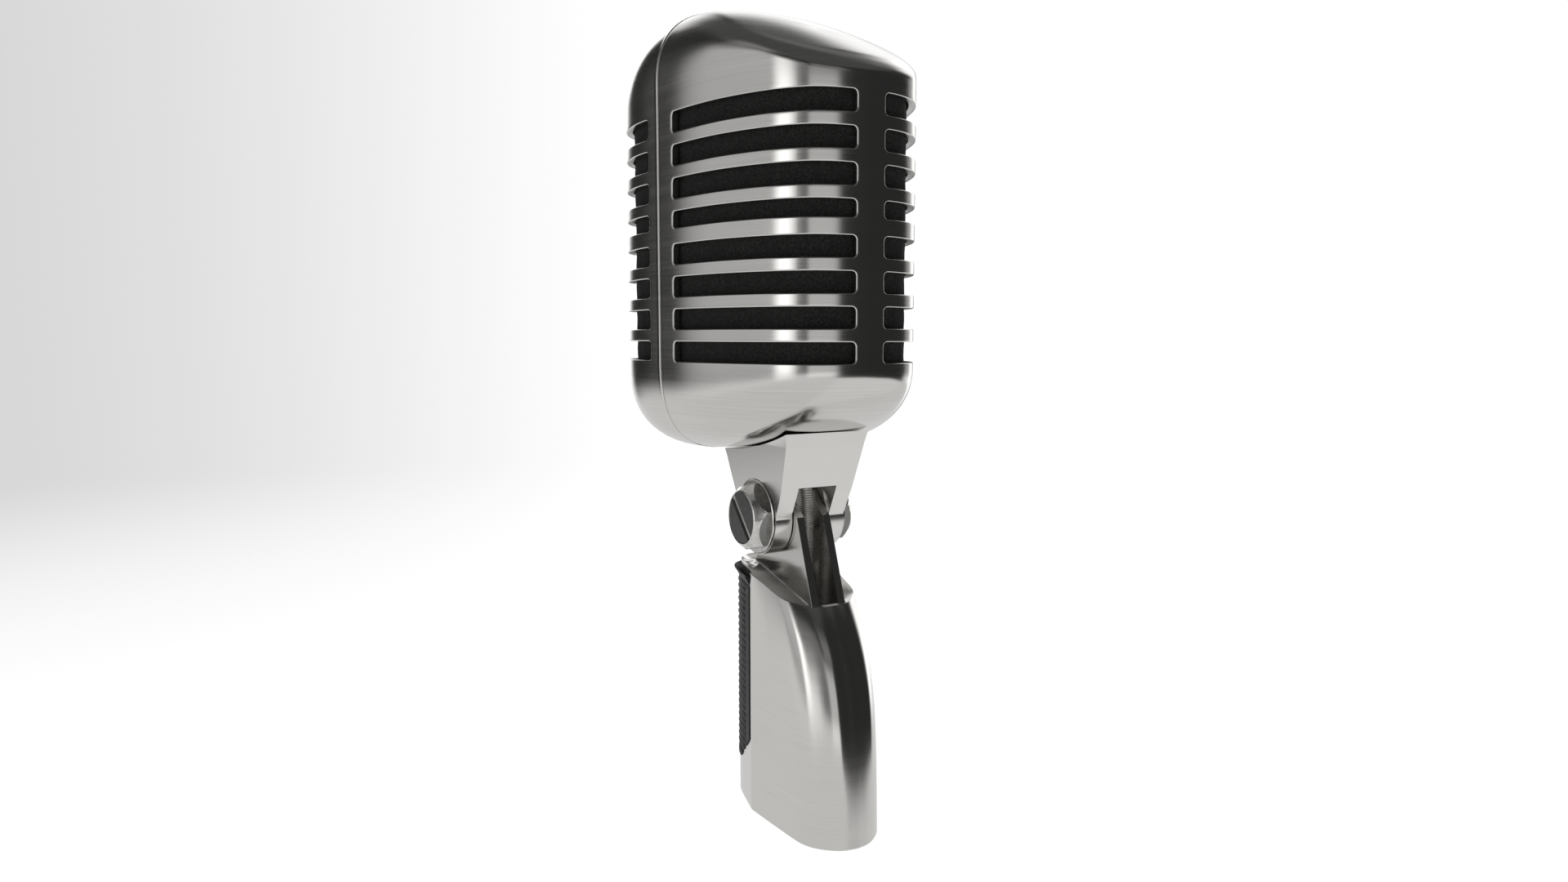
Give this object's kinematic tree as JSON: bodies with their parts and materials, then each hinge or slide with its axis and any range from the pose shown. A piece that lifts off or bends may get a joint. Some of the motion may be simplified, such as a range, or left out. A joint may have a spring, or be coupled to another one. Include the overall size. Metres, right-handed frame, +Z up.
{
  "type": "ribbon microphone",
  "caption": "Swivel-mount vocal microphone: slotted metal head in front and rear shells over a ribbon motor, clevis neck with slotted bolts, hollow base with stand thread and connector.",
  "frame": {"origin": "centre of the stand thread's mouth, in the flat underside of the base", "axes": "+Z up along the microphone, -Y is the front that is sung into, +Y the rear, X across and along the tilt axis"},
  "size_m": [0.0556, 0.0786, 0.1843],
  "materials": {
    "satin_nickel": "satin nickel plate over zinc casting, brushed along the horizontal",
    "steel": "plain machined",
    "dark_steel": "black oxide",
    "foam": "fine open-cell acoustic foam, black",
    "magnet": "ground alnico",
    "foil": "bright corrugated foil",
    "board": "phenolic board",
    "rubber": "soft moulded",
    "core_iron": "laminated core",
    "copper": "enamelled copper wire",
    "brass": "turned",
    "fibre": "pressed fibre",
    "black_plastic": "moulded, satin",
    "switch_knob": "satin",
    "conduit": "ribbed flexible metal conduit"
  },
  "bodies": {
    "base": {"base_casting": "satin_nickel", "pivot_bush": "brass", "friction_washer_left": "fibre", "friction_washer_right": "fibre", "conduit": "conduit", "front_plate": "black_plastic", "plate_screw_bottom": "steel", "plate_screw_top": "steel", "switch_body": "black_plastic", "xlr_shell": "satin_nickel", "xlr_insulator": "black_plastic", "xlr_pin_1": "brass", "xlr_pin_2": "brass", "xlr_pin_3": "brass", "stand_socket": "brass", "terminal_board": "board", "board_screw_left": "steel", "board_screw_right": "steel"},
    "head": {"rear_shell": "satin_nickel", "front_shell": "satin_nickel", "front_foam": "foam", "rear_foam": "foam", "head_chassis": "steel", "magnet_left": "magnet", "magnet_right": "magnet", "pole_left": "steel", "pole_right": "steel", "yoke_bottom": "steel", "yoke_top": "steel", "ribbon": "foil", "ribbon_clamp_bottom": "board", "ribbon_clamp_top": "board", "clamp_screw_bottom": "steel", "clamp_screw_top": "steel", "motor_screen_front": "steel", "motor_screen_rear": "steel", "shock_mount_bottom_left": "rubber", "shock_mount_bottom_right": "rubber", "shock_mount_top_left": "rubber", "shock_mount_top_right": "rubber", "transformer_bracket": "steel", "transformer_core": "core_iron", "transformer_winding": "copper", "neck_block": "satin_nickel", "neck_screw_left": "dark_steel", "neck_screw_right": "dark_steel", "shell_screw": "dark_steel"},
    "tilt_bolt_left": {"pivot_bolt_left": "satin_nickel"},
    "tilt_bolt_right": {"pivot_bolt_right": "satin_nickel"},
    "switch": {"switch_slider": "switch_knob"}
  },
  "joints": [
    {"name": "head_tilt", "type": "hinge", "parent": "base", "child": "head", "pos_m": [0, 0.0041, 0.0693], "axis": [1, 0, 0], "range_deg": [-35, 60], "deforming": ["conduit"]},
    {"name": "tilt_bolt_left_turn", "type": "hinge", "parent": "base", "child": "tilt_bolt_left", "pos_m": [0.011, 0.0041, 0.0693], "axis": [1, 0, 0], "range_deg": [-90, 90]},
    {"name": "tilt_bolt_right_turn", "type": "hinge", "parent": "base", "child": "tilt_bolt_right", "pos_m": [-0.011, 0.0041, 0.0693], "axis": [1, 0, 0], "range_deg": [-90, 90]},
    {"name": "switch_slide", "type": "slide", "parent": "base", "child": "switch", "axis": [0, 0, 1], "range_m": [0, 0.005]}
  ]
}
